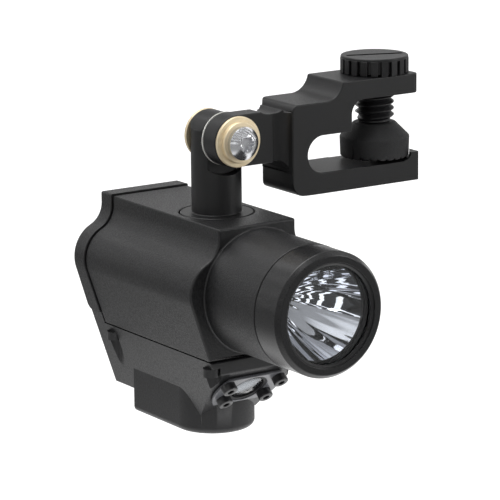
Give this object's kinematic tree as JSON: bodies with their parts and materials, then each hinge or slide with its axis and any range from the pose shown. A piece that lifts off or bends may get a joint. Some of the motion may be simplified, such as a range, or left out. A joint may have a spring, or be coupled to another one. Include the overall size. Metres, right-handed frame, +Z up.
{
  "type": "helmet light",
  "caption": "Firefighter's helmet light with a forward spot lamp and a slanted flood lamp, on a swivel post and a tilting screw clamp for a hat brim.",
  "frame": {"origin": "middle of the flat brim seat on the clamp's lower jaw, between the slot's round end and the pad", "axes": "+Z up out of the brim seat, parallel to the clamp screw, -Y the spot lamp's beam, -X from the clamp screw towards the light"},
  "size_m": [0.0703, 0.0818, 0.0871],
  "materials": {
    "housing_plastic": "moulded nylon, fine spark-eroded texture",
    "lower_plastic": "moulded nylon, fine spark-eroded texture",
    "clamp_coat": "satin black coat on die-cast metal",
    "black_steel": "black oxide on steel",
    "rubber_black": "matte moulded rubber",
    "brass": "turned brass",
    "stainless": "bright stainless steel",
    "white_nylon": "natural nylon",
    "clear_lens": "clear polycarbonate",
    "mirror_coat": "vacuum-metallised reflector",
    "plate_grey": "grey satin coat",
    "cell_wrap": "shrink sleeve",
    "board_green": "solder mask",
    "board_white": "white solder mask",
    "component_black": "moulded epoxy",
    "phosphor": "phosphor coating",
    "lead_red": "wire insulation",
    "lead_black": "wire insulation",
    "bare_aluminium": "turned aluminium"
  },
  "bodies": {
    "bracket": {"clamp_bracket": "clamp_coat", "tilt_screw": "stainless", "tilt_front_washer": "brass", "tilt_friction_washer": "white_nylon", "tilt_rear_washer": "brass", "tilt_nut": "stainless"},
    "pad": {"clamp_pad": "rubber_black"},
    "clamp_screw": {"clamp_screw": "black_steel", "clamp_knob": "clamp_coat"},
    "post": {"post": "clamp_coat", "swivel_washer": "stainless", "swivel_clip": "stainless"},
    "light": {"main_housing": "housing_plastic", "lower_housing": "lower_plastic", "bezel": "housing_plastic", "lens": "clear_lens", "flood_lens": "clear_lens", "flood_plate": "plate_grey", "flood_screws": "black_steel", "housing_gasket": "rubber_black", "case_screws": "stainless", "cover_pin": "stainless", "cover_insert": "brass", "front_contacts": "stainless", "front_spring": "stainless", "bezel_oring": "rubber_black", "lens_seal": "rubber_black", "reflector": "mirror_coat", "heat_sink": "bare_aluminium", "led_board": "board_white", "led_emitter": "phosphor", "driver_board": "board_green", "driver_parts": "component_black", "led_leads": "lead_red", "battery_leads": "lead_black", "flood_leads": "lead_red", "switch_board": "board_green", "tact_switches": "component_black", "flood_board": "board_white", "flood_leds": "phosphor", "flood_seal": "rubber_black", "flood_gasket": "rubber_black", "cell_left": "cell_wrap", "cell_middle": "cell_wrap", "cell_right": "cell_wrap"},
    "cover": {"rear_cover": "housing_plastic", "cover_gasket": "rubber_black", "rear_contacts": "stainless", "rear_springs": "stainless"},
    "cover_screw": {"cover_screw": "stainless"},
    "spot_button": {"spot_button": "rubber_black"},
    "flood_button": {"flood_button": "rubber_black"}
  },
  "joints": [
    {"name": "tilt", "type": "hinge", "parent": "bracket", "child": "post", "pos_m": [-0.0282, 0.00493, 0.0095], "axis": [0, 1, 0], "range_deg": [-4, 185]},
    {"name": "swivel", "type": "hinge", "parent": "post", "child": "light", "pos_m": [-0.0282, 0.00493, -0.0087], "axis": [0, 0, 1], "continuous": true},
    {"name": "clamp_travel", "type": "slide", "parent": "bracket", "child": "pad", "axis": [0, 0, 1], "range_m": [0, 0.007]},
    {"name": "clamp_turn", "type": "hinge", "parent": "pad", "child": "clamp_screw", "pos_m": [0.01445, 0, 0], "axis": [0, 0, 1], "range_deg": [0, 1587.5]},
    {"name": "cover_hinge", "type": "hinge", "parent": "light", "child": "cover", "pos_m": [-0.0282, 0.03838, -0.0359], "axis": [-1, 0, 0], "range_deg": [0, 85]},
    {"name": "cover_screw_turn", "type": "hinge", "parent": "cover", "child": "cover_screw", "pos_m": [-0.0282, 0.03983, -0.0125], "axis": [0, 1, 0], "range_deg": [0, 1080]},
    {"name": "spot_press", "type": "slide", "parent": "light", "child": "spot_button", "axis": [0, 0, 1], "range_m": [0, 0.0008], "stiffness_N_per_m": 2500},
    {"name": "flood_press", "type": "slide", "parent": "light", "child": "flood_button", "axis": [0, 0, 1], "range_m": [0, 0.0008], "stiffness_N_per_m": 2500}
  ],
  "couplings": [
    {"joint": "clamp_turn", "follows": "clamp_travel", "rad_per_m": 3957.9}
  ]
}
